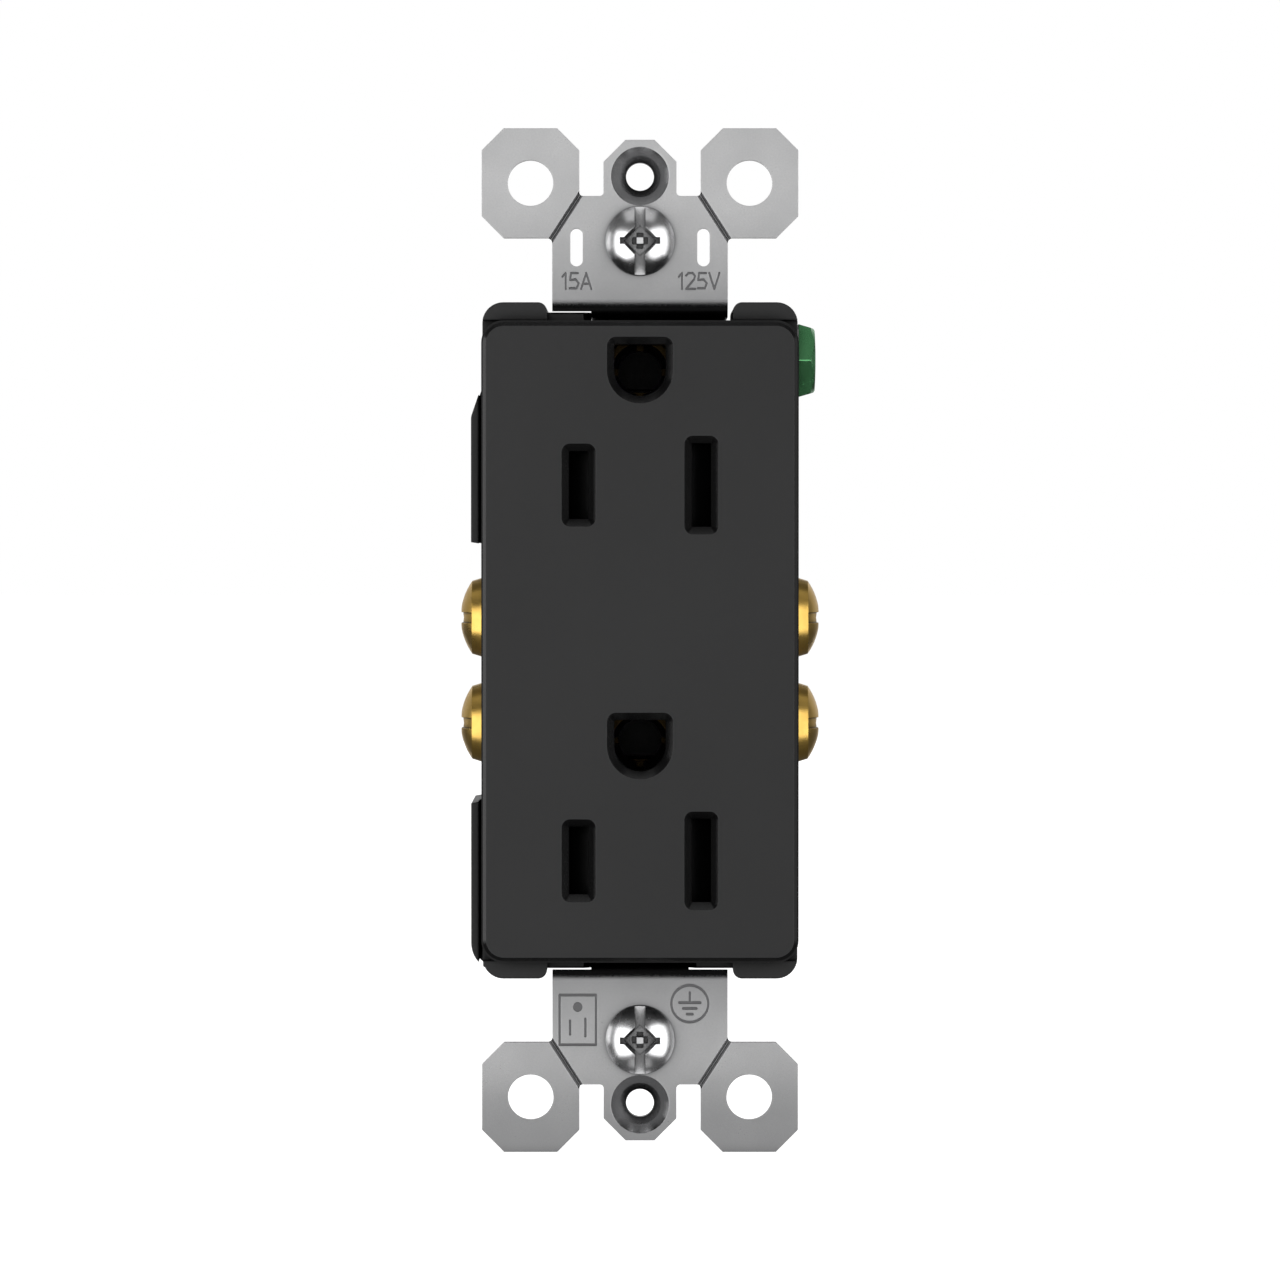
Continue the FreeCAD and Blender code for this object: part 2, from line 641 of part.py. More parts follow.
def shutter():
    """Left shutter: ramp under its own slot, blade stop under the other one."""
    wall = -RAMP_IN + RAMP_WALL
    corners = [
        (-RAMP_OUT, PLATE_Y - 0.5, 0),
        (-RAMP_IN, SHUTTER_Y0, 0),
        (wall, SHUTTER_Y0, 0),
        (wall, PLATE_Y - SHUTTER_GAP / 2, 0),
        (-RAMP_OUT, PLATE_Y - SHUTTER_GAP / 2, 0),
    ]
    ramp = slab_z(corners, -SHUTTER_HALF_Z, SHUTTER_HALF_Z)
    y0 = PLATE_Y + SHUTTER_GAP / 2
    y1 = PLATE_Y + BLADE_PLATE_T
    leg = box(-RAMP_IN, wall, SHUTTER_Y0, y1, 0.35, SHUTTER_HALF_Z)
    bar = box(-RAMP_IN, RAMP_OUT, y0, y1, 0.35, 2.9)
    stop = box(RAMP_IN + 0.3, RAMP_OUT + 0.2, y0, y1, -SHUTTER_HALF_Z, SHUTTER_HALF_Z)
    peg = cyl_x(0.6, wall - 0.1, wall + 0.7, SPRING_Y, 0)
    return fuse([ramp, leg, bar, stop, peg])


def shutter_hot(shift):
    return moved(shutter(), z=BLADE_Z + shift)


def shutter_neutral(shift):
    turned = shutter()
    turned.rotate(vec(0, 0, 0), vec(0, 1, 0), 180)
    return moved(turned, z=BLADE_Z + shift)


def shutter_spring(shift):
    """Sleeve as large as the coil between the two ramps, which pushes both outwards."""
    half = RAMP_IN - RAMP_WALL - SPRING_END_GAP
    z = BLADE_Z + shift
    outer = cyl_x(SPRING_R + SPRING_WIRE_R, -half, half, SPRING_Y, z)
    return outer.cut(cyl_x(SPRING_R - SPRING_WIRE_R, -half - 1, half + 1, SPRING_Y, z))


def shutter_guide(shift):
    """Flat tray behind the shutters, windowed for the blades and pegged to the cover."""
    z = BLADE_Z + shift
    half_z = SHUTTER_HALF_Z + 0.9
    tray = slab_y(rounded(GUIDE_POST_X + 1.4, half_z, 1.0, 0, z), GUIDE_Y0, GUIDE_Y0 + GUIDE_T)
    rail_z = SHUTTER_HALF_Z + SHUTTER_GAP + RAIL_T / 2
    rails = []
    for up in (-1, 1):
        middle = z + up * rail_z
        z0 = middle - RAIL_T / 2
        z1 = middle + RAIL_T / 2
        rails.append(box(-RAIL_HALF_X, RAIL_HALF_X, SHUTTER_Y0 + 0.3, GUIDE_Y0 + 0.2, z0, z1))
    windows = []
    for side in (-1, 1):
        window = rounded(1.4, 4.6, 0.4, side * BLADE_X, z)
        windows.append(slab_y(window, GUIDE_Y0 - 1, GUIDE_Y0 + 2))
        for up in (-1, 1):
            at_z = z + up * GUIDE_POST_Z
            windows.append(cyl_y(0.6, GUIDE_Y0 - 1, GUIDE_Y0 + 2, side * GUIDE_POST_X, at_z))
    return fuse([tray] + rails).cut(windows)


# ---- brass -----------------------------------------------------------------------

def blade_contact(z):
    """Two sprung leaves that grip a blade, standing on a folded base."""
    near = BLADE_X - LEAF_OPEN / 2 - BRASS_T
    mouth = 2.0
    pinch_y = LEAF_TIP + 1.9
    left = [
        (near, BUS_Y + BRASS_T, 0),
        (near, pinch_y + 4.0, 0),
        (BLADE_X - LEAF_GAP / 2 - BRASS_T * 0.75, pinch_y, 0.5),
        (BLADE_X - mouth - 0.1, LEAF_TIP, 0),
        (BLADE_X - mouth + 0.45, LEAF_TIP - 0.3, 0),
        (BLADE_X - LEAF_GAP / 2, pinch_y, 0.4),
        (near + BRASS_T, pinch_y + 4.0, 0),
        (near + BRASS_T, BUS_Y + BRASS_T, 0),
    ]
    leaf = slab_z(left, z - LEAF_HALF_Z, z + LEAF_HALF_Z)
    other = leaf.mirror(vec(BLADE_X, 0, 0), vec(1, 0, 0))
    base = box(near, 2 * BLADE_X - near, BUS_Y, BUS_Y + BRASS_T, z - LEAF_HALF_Z, z + LEAF_HALF_Z)
    return [leaf, other, base]


def bus_half(blade_z, screw_z):
    """One outlet's share of a bus bar, right-hand side."""
    pieces = blade_contact(blade_z)
    x0 = BLADE_X + LEAF_OPEN / 2
    x_in = BACKBONE_X0
    x_out = PLATE_X - BRASS_T
    z_low = min(blade_z - LEAF_HALF_Z, screw_z - PLATE_HALF_Z)
    z_high = max(blade_z + LEAF_HALF_Z, screw_z + PLATE_HALF_Z)
    pieces.append(box(x_in, BACKBONE_X1, BUS_Y, BUS_Y + BRASS_T, z_low, z_high))
    leaf_z0 = blade_z - LEAF_HALF_Z
    leaf_z1 = blade_z + LEAF_HALF_Z
    pieces.append(box(x0, x_in + 0.1, BUS_Y, BUS_Y + BRASS_T, leaf_z0, leaf_z1))
    arm_z0 = screw_z - PLATE_HALF_Z
    arm_z1 = screw_z + PLATE_HALF_Z
    inner = arm_z0 if screw_z > blade_z else arm_z1 - 2.2
    arm_x = BACKBONE_X1 - 0.1
    pieces.append(box(arm_x, x_out + 0.1, BUS_Y, BUS_Y + BRASS_T, inner, inner + 2.2))
    plate = box(x_out, PLATE_X, PLATE_Y0, PLATE_Y1, arm_z0, arm_z1)
    barrel = cyl_x(TERMINAL_R + RUN + 0.75, x_out - TERMINAL_BARREL, x_out + 0.2, SCREW_Y, screw_z)
    shell = fuse(pieces + [plate, barrel])
    bore = cyl_x(TERMINAL_R + RUN, x_out - TERMINAL_BARREL - 1, PLATE_X + 1, SCREW_Y, screw_z)
    return shell.cut([bore])


def bus_bar():
    """Right-hand bus bar: two halves joined only by the break-off fin."""
    upper = bus_half(BLADE_Z, SCREW_Z[0])
    lower = bus_half(BLADE_Z - OUTLET_STEP, SCREW_Z[1])
    z0 = SCREW_Z[1] + PLATE_HALF_Z
    z1 = SCREW_Z[0] - PLATE_HALF_Z
    middle = (z0 + z1) / 2
    x_out = PLATE_X - BRASS_T
    fin = box(x_out, PLATE_X, SCREW_Y - 2.4, SCREW_Y + 2.4, z0 - 0.1, z1 + 0.1)
    wing = box(x_out, PLATE_X + 1.0, SCREW_Y - 1.5, SCREW_Y + 1.5, middle - 0.4, middle + 0.4)
    bar = fuse([upper, lower, fin, wing])
    nicks = [
        box(x_out - 1, x_out + BRASS_T / 2, SCREW_Y - 3, SCREW_Y + 3, z - 0.15, z + 0.15)
        for z in (middle - 0.85, middle + 0.85)
    ]
    return bar.cut(nicks)


def dome_groove(rim, apex, r, depth):
    """Cutter for an upright groove of even depth below a dome about the Y axis."""
    floor = rim + depth
    low = [(floor, r + 1.0), (floor, r), cap_arc(floor, apex + depth, r)]
    below = turned_y(low + [(floor + 3.0, 0.0), (floor + 3.0, r + 1.0)], 0, 0)
    return box(-GROOVE_HALF, GROOVE_HALF, apex - 1, rim, -r - 1, r + 1).cut([below])


def flat_groove(floor, apex, r):
    """Cutter for an upright groove with a flat floor, right across a dome."""
    return box(-GROOVE_HALF, GROOVE_HALF, apex - 1, floor, -r - 1, r + 1)


def driver_recess(groove, apex, floor, reach):
    """Cutters for a combination recess about the Y axis: groove, diamond, arms, centre peg."""
    tip = reach - 0.5
    diamond = tapered(
        [(-reach, 0, 0), (0, -reach, 0), (reach, 0, 0), (0, reach, 0)],
        apex - 0.05,
        [(-tip, 0, 0), (0, -tip, 0), (tip, 0, 0), (0, tip, 0)],
        floor,
    )
    arms = box(-2.1, 2.1, apex - 1, floor - 0.35, -0.35, 0.35)
    long_arm = box(-0.82, 0.82, apex - 1, floor + 0.35, -0.36, 0.36)
    short_arm = box(-0.36, 0.36, apex - 1, floor + 0.35, -0.82, 0.82)
    peg = box(-PEG_HALF, PEG_HALF, apex + 0.8, floor + 1, -PEG_HALF, PEG_HALF)
    return [cutter.cut([peg]) for cutter in (groove, diamond, arms, long_arm, short_arm)]


def shank_points(under, tip, r):
    """Threaded shank from inside the head to a chamfered tip."""
    side = 1 if tip > under else -1
    root = r - THREAD_DEPTH
    points = [(under - side * 0.2, 0.0), (under - side * 0.2, root)]
    points += thread_points(under + side * 0.1, tip - side * 0.5, r)
    return points + [(tip, root - 0.3), (tip, 0.0)]


def terminal_screw(z):
    """Right-hand terminal screw: domed head outside, thread running inwards."""
    head = [
        (TERMINAL_HEAD_X, 0.0),
        (TERMINAL_HEAD_X, TERMINAL_HEAD_R - 0.12),
        (TERMINAL_HEAD_X + 0.12, TERMINAL_HEAD_R),
        (TERMINAL_RIM_X, TERMINAL_RIM_R),
        cap_arc(TERMINAL_RIM_X, TERMINAL_APEX_X, TERMINAL_RIM_R),
    ]
    shank = shank_points(TERMINAL_HEAD_X, TERMINAL_TIP_X, TERMINAL_R)
    screw = fuse([turned_x(head, SCREW_Y, z), turned_x(shank, SCREW_Y, z)])
    apex = -TERMINAL_APEX_X
    groove = dome_groove(-TERMINAL_RIM_X, apex, TERMINAL_RIM_R, TERMINAL_GROOVE)
    cutters = driver_recess(groove, apex, apex + 1.1, 1.75)
    placed = []
    for cutter in cutters:
        cutter.rotate(vec(0, 0, 0), vec(0, 1, 0), 90)
        cutter.rotate(vec(0, 0, 0), vec(0, 0, 1), 90)
        placed.append(moved(cutter, y=SCREW_Y, z=z))
    return screw.cut(placed)


def hexagon(r, x):
    """Hexagon about the ground screw's axis with a corner towards the front."""
    corners = []
    for i in range(6):
        angle = math.radians(180 + 60 * i)
        corners.append((GROUND_Y + r * math.cos(angle), GROUND_Z + r * math.sin(angle), 0.12))
    return outline(corners, lambda u, v: vec(x, u, v))


def ground_screw():
    """Hex-headed ground screw with drafted sides."""
    top_r = GROUND_HEAD_R - GROUND_DRAFT
    ends = [hexagon(GROUND_HEAD_R, GROUND_HEAD_X), hexagon(top_r, GROUND_APEX_X)]
    sides = Part.makeLoft(ends, True, True)
    crown = [
        (GROUND_HEAD_X - 1.0, 0.0),
        (GROUND_HEAD_X - 1.0, GROUND_HEAD_R + 0.5),
        (GROUND_HEAD_X + 0.9, GROUND_HEAD_R + 0.5),
        (GROUND_APEX_X - 0.45, GROUND_HEAD_R - 0.75),
        (GROUND_APEX_X - 0.12, GROUND_HEAD_R - 1.2),
        cap_arc(GROUND_APEX_X - 0.12, GROUND_APEX_X, GROUND_HEAD_R - 1.2),
    ]
    head = sides.common(turned_x(crown, GROUND_Y, GROUND_Z))
    slot_x = GROUND_APEX_X - 0.9
    slot = box(slot_x, slot_x + 2, GROUND_Y - 0.55, GROUND_Y + 0.55, GROUND_Z - 5, GROUND_Z + 5)
    shank = shank_points(GROUND_HEAD_X, TERMINAL_TIP_X + 1.0, TERMINAL_R)
    return fuse([head.cut([slot]), turned_x(shank, GROUND_Y, GROUND_Z)])


# ---- ground contacts -------------------------------------------------------------

def ground_contact(shift):
    """Split tapered sleeve that grips the ground pin, on a foot riveted to the strap."""
    z = PIN_Z + shift
    outer = GRIP_R + GRIP_WALL
    front = GRIP_MOUTH - 1
    wide = GRIP_FLARE * (GRIP_NECK - front) / (GRIP_NECK - GRIP_MOUTH)
    sleeve = fuse([
        cone_y(outer + GRIP_FLARE, outer, GRIP_MOUTH, GRIP_NECK, 0, z),
        cyl_y(outer, GRIP_NECK - 0.1, GRIP_REAR, 0, z),
    ])
    slit_rear = GRIP_REAR - 2.0
    hollow = [
        cone_y(GRIP_R + wide, GRIP_R, front, GRIP_NECK, 0, z),
        cyl_y(GRIP_R, GRIP_NECK - 0.1, GRIP_REAR + 1, 0, z),
        box(-5, 5, front, slit_rear, z - 0.4, z + 0.4),
        box(-0.4, 0.4, front, slit_rear, z - 5, z + 5),
    ]
    sleeve = sleeve.cut(hollow)
    base_end = GRIP_BASE_Y + BRASS_T
    stem_top = z - outer + BRASS_T
    stem = box(-FOOT_HALF_X, FOOT_HALF_X, GRIP_REAR - 1.0, base_end, z - outer, stem_top)
    foot_end = z - RIVET_OFFSET - FOOT_EDGE
    foot = box(-FOOT_HALF_X, FOOT_HALF_X, GRIP_BASE_Y, base_end, foot_end, stem_top)
    rivet_hole = cyl_y(RIVET_R, GRIP_BASE_Y - 1, BODY_REAR, 0, z - RIVET_OFFSET)
    return fuse([sleeve, stem, foot]).cut([rivet_hole])


def ground_rivets():
    """Two rivets through the strap's rear span and the feet of the ground contacts."""
    rivets = []
    for z in RIVET_Z:
        shank = cyl_y(RIVET_R, GRIP_BASE_Y - 0.3, BODY_REAR + 0.2, 0, z)
        front = cone_y(1.5, 2.0, GRIP_BASE_Y - 0.6, GRIP_BASE_Y, 0, z)
        rear = cone_y(2.1, 1.5, BODY_REAR, BODY_REAR + 0.7, 0, z)
        rivets.append(fuse([shank, front, rear]))
    return Part.makeCompound(rivets)


# ---- back body -------------------------------------------------------------------

def body_shell():
    """Outer form of the back body: block, corner posts, side wings."""
    flange = slab_y(rounded(BODY_HALF_X, COVER_H / 2, COVER_R), PART_LINE, 4.0)
    block = slab_y(rounded(BODY_HALF_X - 0.35, COVER_H / 2 - 0.1, 1.4), 3.5, BODY_REAR)
    parts = [flange, block]
    for side in (-1, 1):
        for up in (-1, 1):
            parts.append(corner_post(side, up))
    inner = -BODY_HALF_X + 2.0
    root = -BODY_HALF_X - 0.25
    upper = [
        (inner, 27.6, 0),
        (-BODY_HALF_X - 0.05, 26.9, 0.6),
        (-WING_X, 23.4, 1.6),
        (-WING_X, RECESS_TOP + 0.15, 0.1),
        (root, RECESS_TOP, 0),
        (inner, RECESS_TOP, 0),
    ]
    lower = [
        (inner, RECESS_BOTTOM, 0),
        (root, RECESS_BOTTOM, 0),
        (-WING_X, RECESS_BOTTOM - 0.18, 0.1),
        (-WING_X, WING_LOW_Z, WING_LOW_R),
        (inner, WING_LOW_Z, 0),
    ]
    groove = box(-WING_X + WING_RIM, -BODY_HALF_X, WING_Y0 - 1, WING_GROOVE_REAR, -60, 60)
    for corners in (upper, lower):
        parts.append(slab_y(corners, WING_Y0, BODY_REAR - 3.0).cut([groove]))
    return fuse(parts)


def corner_post(side, up):
    """Corner of the body that stands beside the strap leg."""
    corners = [
        (POST_X_IN, COVER_H / 2 - 3.0, 0),
        (BODY_HALF_X, COVER_H / 2 - 3.0, 0),
        (BODY_HALF_X, POST_Z, 2.2),
        (POST_X_IN, POST_Z, 0.95),
    ]
    rear = slab_y(corners, PART_LINE, BODY_REAR)
    front = slab_y(corners, POST_FRONT, PART_LINE + 0.1)
    keep = box(0, 30, -5, 5, COVER_H / 2 + END_GAP, 60)
    post = fuse([rear, front.common(keep)])
    return at_corner(post, side, up)


def bus_pocket(blade_z, screw_z):
    """Room for one half of the right-hand bus bar."""
    gap = BUS_CLEAR
    x0 = BLADE_X - LEAF_OPEN / 2 - BRASS_T - 1.0
    x1 = BLADE_X + LEAF_OPEN / 2 + BRASS_T + 1.0
    rear = BUS_Y + BRASS_T + gap
    z0 = blade_z - LEAF_HALF_Z - 1.9
    z1 = blade_z + LEAF_HALF_Z + 1.9
    low = min(blade_z - LEAF_HALF_Z, screw_z - PLATE_HALF_Z) - gap
    high = max(blade_z + LEAF_HALF_Z, screw_z + PLATE_HALF_Z) + gap
    front = PART_LINE - 1
    arm_z0 = screw_z - PLATE_HALF_Z - gap
    arm_z1 = screw_z + PLATE_HALF_Z + gap
    return [
        box(x0, x1, front, rear, z0, z1),
        box(BACKBONE_X0 - gap, BACKBONE_X1 + gap, front, rear, low, high),
        box(BACKBONE_X1, RECESS_X + 1, front, rear, arm_z0, arm_z1),
        box(PLATE_X - BRASS_T - gap, PLATE_X + gap, front, PLATE_Y1 + gap, arm_z0, arm_z1),
        cyl_x(TERMINAL_R + RUN + 0.75 + gap, TERMINAL_TIP_X - 0.5, PLATE_X, SCREW_Y, screw_z),
    ]


def push_in_tools(z):
    """Wire entry, release slot and spring chamber of one push-in terminal."""
    chamber = box(PUSH_X - 1.75, PLATE_X - BRASS_T, BUS_Y + 1.5, 21.6, z - 1.3, z + 1.3)
    entry = cyl_y(PUSH_R, 21.0, BODY_REAR + 1, PUSH_X + 0.6, z)
    funnel = cone_y(PUSH_R, PUSH_R + 0.7, BODY_REAR - 0.7, BODY_REAR + 0.001, PUSH_X + 0.6, z)
    release = box(PUSH_X - 1.7, PUSH_X - 0.9, 21.0, BODY_REAR + 1, z - 1.0, z + 1.0)
    return [chamber, entry, funnel, release]


def ground_pocket(shift):
    """Room for a ground contact: its sleeve, its stem and its foot."""
    z = PIN_Z + shift
    gap = 0.3
    outer = GRIP_R + GRIP_WALL
    half_x = FOOT_HALF_X + gap
    foot_end = z - RIVET_OFFSET - FOOT_EDGE - gap
    top = z - outer + BRASS_T + gap
    return [
        cyl_y(outer + GRIP_FLARE + gap, PART_LINE - 1, GRIP_REAR + gap, 0, z),
        box(-half_x, half_x, GRIP_REAR - 1, BODY_REAR + 1, z - outer - gap, top),
        box(-half_x, half_x, GRIP_BASE_Y - 1.0, BODY_REAR + 1, foot_end, top),
    ]


def strap_channel():
    """Channel that lets the strap's legs and rear span lie flush."""
    half = POST_X_IN
    z_in = LEG_Z_OUT - STRAP_T - CHANNEL_CLEAR
    tools = []
    for up in (1, -1):
        leg = box(-half, half, -5, BODY_REAR + 1, z_in, 60)
        tools.append(leg if up > 0 else mirror_z(leg))
    tools.append(box(-half, half, BODY_REAR - STRAP_T - CHANNEL_CLEAR, BODY_REAR + 1, -60, 60))
    return tools


def body_catch(side, up):
    """Wedge on the body's end wall that a cover latch snaps over."""
    y0 = LATCH_REAR - 3.4
    y1 = LATCH_REAR - 1.6
    z0 = LATCH_WALL_Z
    corners = [(y0, z0 - 0.5, 0), (y0, z0, 0), (y1, z0 + 0.9, 0), (y1, z0 - 0.5, 0)]
    return at_corner(slab_x(corners, LEG_CUT_X + 1.5, POST_X_IN - 1.45), side, up)


def latch_pocket(side, up):
    """Channel in the end wall for a cover latch."""
    pocket = box(LEG_CUT_X, POST_X_IN, PART_LINE - 1, LATCH_REAR + 0.3, LATCH_WALL_Z - 0.15, 60)
    return at_corner(pocket, side, up)


def back_body():
    body = body_shell()
    tools = strap_channel()
    tools += [latch_pocket(side, up) for side, up in LATCHES]
    side_tools = []
    for shift, screw_z, up in zip(OUTLET_SHIFTS, SCREW_Z, (1, -1)):
        side_tools += bus_pocket(BLADE_Z + shift, screw_z)
        side_tools += push_in_tools(screw_z + up * PUSH_OFFSET)
    side_tools.append(box(RECESS_X, 30, 4.6, PLATE_Y1 + 0.4, RECESS_BOTTOM, RECESS_TOP))
    for tool in side_tools:
        tools += [tool, mirror_x(tool)]
    for shift in OUTLET_SHIFTS:
        tools += ground_pocket(shift)
    tab_low = GROUND_Z - GROUND_TAB_HALF - 0.2
    tab_high = GROUND_Z + GROUND_TAB_HALF + 0.2
    tab_x = GROUND_TAB_X - STRAP_T - 0.15
    tab_y = GROUND_Y - GROUND_TAB_HALF - 1.2
    rear = BODY_REAR - STRAP_T - CHANNEL_CLEAR
    tools.append(box(tab_x, 30, tab_y, BODY_REAR + 1, tab_low, tab_high))
    tools.append(box(NECK_HALF, 30, rear, BODY_REAR + 1, tab_low, tab_high))
    tools.append(cyl_x(TERMINAL_R + 0.5, TERMINAL_TIP_X + 0.5, 20, GROUND_Y, GROUND_Z))
    tools.append(cyl_x(GROUND_HEAD_R + 0.5, GROUND_HEAD_X - 0.35, 30, GROUND_Y, GROUND_Z))
    for z in RIVET_Z:
        tools.append(cyl_y(2.3, GRIP_BASE_Y - 0.9, BODY_REAR + 1, 0, z))
    body = body.cut(tools)
    catches = [body_catch(side, up) for side, up in LATCHES]
    return fuse([body] + catches)


# ---- push-in springs -------------------------------------------------------------

def push_in_spring(screw_z, up):
    """Folded leaf that bites a pushed-in wire, right-hand side."""
    z = screw_z + up * PUSH_OFFSET
    x0 = PUSH_X - 1.75
    y_fold = BUS_Y + 1.5
    corners = [
        (x0, 20.6, 0),
        (x0, y_fold, 0.6),
        (x0 + 1.6, y_fold, 0.5),
        (PUSH_X + 1.35, 19.2, 0),
        (PUSH_X + 1.35 - SPRING_T, 19.4, 0),
        (x0 + 1.6 - SPRING_T, y_fold + SPRING_T, 0.3),
        (x0 + SPRING_T, y_fold + SPRING_T, 0.3),
        (x0 + SPRING_T, 20.6, 0),
    ]
    return slab_z(corners, z - 1.0, z + 1.0)


# ---- mounting screws and retainers -----------------------------------------------

def mounting_screw(up):
    """Domed head with a combination recess, threaded shank and chamfered tip."""
    z = up * MOUNT_SCREW_Z
    under = -HEAD_LIFT
    rim = under - MOUNT_RIM_H
    apex = rim - MOUNT_DOME_H
    head = [
        (under, 0.0),
        (under, MOUNT_HEAD_R - 0.1),
        (under - 0.1, MOUNT_HEAD_R),
        (rim, MOUNT_HEAD_R - 0.05),
        cap_arc(rim, apex, MOUNT_HEAD_R - 0.05),
    ]
    shank = shank_points(under, MOUNT_TIP, MOUNT_R)
    screw = fuse([turned_y(head, 0, z), turned_y(shank, 0, z)])
    groove = flat_groove(rim - 0.05, apex, MOUNT_HEAD_R)
    cutters = driver_recess(groove, apex, rim + 0.05, 2.1)
    return screw.cut([moved(cutter, z=z) for cutter in cutters])


def screw_retainer(up):
    """Fibre washer behind the strap that keeps a mounting screw captive."""
    z = up * MOUNT_SCREW_Z
    y0 = STRAP_T + 0.05
    plate = slab_y(rounded(WASHER_HALF_X, WASHER_HALF_Z, 0.8, 0, z), y0, y0 + WASHER_T)
    return plate.cut([cyl_y(MOUNT_R + RUN, y0 - 1, y0 + WASHER_T + 1, 0, z)])


# ---- assembly --------------------------------------------------------------------

def build():
    nodes = {
        "face_cover": face_cover(),
        "back_body": back_body(),
        "mounting_strap": mounting_strap(),
        "neutral_bus_bar": bus_bar(),
        "hot_bus_bar": mirror_x(bus_bar()),
        "ground_rivets": ground_rivets(),
        "ground_screw": ground_screw(),
    }
    for name, up, shift, screw_z in zip(("upper", "lower"), (1, -1), OUTLET_SHIFTS, SCREW_Z):
        nodes["ground_contact_" + name] = ground_contact(shift)
        nodes["mounting_screw_" + name] = mounting_screw(up)
        nodes["screw_retainer_" + name] = screw_retainer(up)
        nodes["shutter_hot_" + name] = shutter_hot(shift)
        nodes["shutter_neutral_" + name] = shutter_neutral(shift)
        nodes["shutter_spring_" + name] = shutter_spring(shift)
        nodes["shutter_guide_" + name] = shutter_guide(shift)
        nodes["terminal_screw_neutral_" + name] = terminal_screw(screw_z)
        nodes["terminal_screw_hot_" + name] = mirror_x(terminal_screw(screw_z))
        nodes["push_in_spring_neutral_" + name] = push_in_spring(screw_z, up)
        nodes["push_in_spring_hot_" + name] = mirror_x(push_in_spring(screw_z, up))
    return nodes


os.makedirs("parts", exist_ok=True)
for node, shape in build().items():
    shape.exportStep("parts/" + node + ".step")
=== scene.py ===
import json
import math

import bpy
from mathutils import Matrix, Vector


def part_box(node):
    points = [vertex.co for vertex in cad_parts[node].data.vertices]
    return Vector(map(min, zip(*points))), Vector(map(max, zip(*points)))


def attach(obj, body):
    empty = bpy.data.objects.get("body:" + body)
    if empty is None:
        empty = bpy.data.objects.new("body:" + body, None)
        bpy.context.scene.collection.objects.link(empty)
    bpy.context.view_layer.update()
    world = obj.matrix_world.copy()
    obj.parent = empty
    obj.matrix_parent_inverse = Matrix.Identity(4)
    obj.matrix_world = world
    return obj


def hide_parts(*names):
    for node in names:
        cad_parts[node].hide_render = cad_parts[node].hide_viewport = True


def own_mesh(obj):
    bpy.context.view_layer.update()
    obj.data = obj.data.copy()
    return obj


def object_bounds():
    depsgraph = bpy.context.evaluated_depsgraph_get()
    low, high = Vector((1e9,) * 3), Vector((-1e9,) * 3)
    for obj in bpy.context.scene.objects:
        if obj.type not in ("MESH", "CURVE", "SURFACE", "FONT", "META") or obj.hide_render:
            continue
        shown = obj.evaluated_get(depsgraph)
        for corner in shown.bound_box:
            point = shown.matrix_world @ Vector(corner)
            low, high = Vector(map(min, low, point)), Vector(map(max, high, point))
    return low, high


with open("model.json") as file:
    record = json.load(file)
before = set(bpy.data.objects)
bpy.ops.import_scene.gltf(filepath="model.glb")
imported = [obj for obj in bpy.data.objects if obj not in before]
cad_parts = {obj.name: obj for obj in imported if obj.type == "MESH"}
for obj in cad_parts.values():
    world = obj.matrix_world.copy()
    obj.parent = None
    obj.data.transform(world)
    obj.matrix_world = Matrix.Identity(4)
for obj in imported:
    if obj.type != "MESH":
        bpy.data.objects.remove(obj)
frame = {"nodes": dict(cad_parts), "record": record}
cad_box = [list(corner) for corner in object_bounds()]
nodes = frame["nodes"]
MM = 0.001

NEAR_GAP = 1.5 * MM
DEEP_REACH = 12.0 * MM
SCRATCH_ROUNDING = 0.08 * MM
# near-black colours of the painted shade in crevices and in deep holes
CREVICE_SHADE_PAINT = (0.001, 0.001, 0.001)
DEEP_HOLE_SHADE_PAINT = (0.0003, 0.0003, 0.0003)


# ---------------------------------------------------------------- material tools

